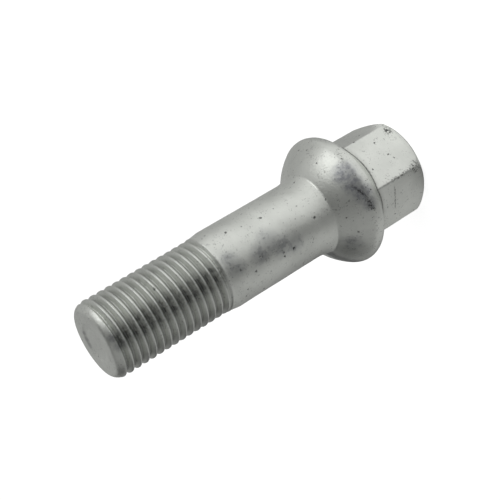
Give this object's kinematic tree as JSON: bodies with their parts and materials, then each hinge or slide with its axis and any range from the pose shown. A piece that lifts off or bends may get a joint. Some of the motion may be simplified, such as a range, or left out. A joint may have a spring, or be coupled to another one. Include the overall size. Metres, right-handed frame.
{
  "type": "wheel bolt",
  "caption": "One-piece wheel bolt: crowned wrench hexagon, ball collar that centres the wheel, plain shank and a rolled metric thread with a chamfered tip.",
  "frame": {"origin": "centre of the hexagon's flat end face, on which the bolt stands", "axes": "+Z along the bolt axis from the head towards the threaded tip; +X through a corner of the hexagon"},
  "size_m": [0.0248, 0.0248, 0.0669],
  "materials": {
    "zinc_flake_steel": "matte silver-grey zinc-flake coating on steel"
  },
  "bodies": {
    "root": {"wheel_bolt": "zinc_flake_steel"}
  },
  "joints": []
}
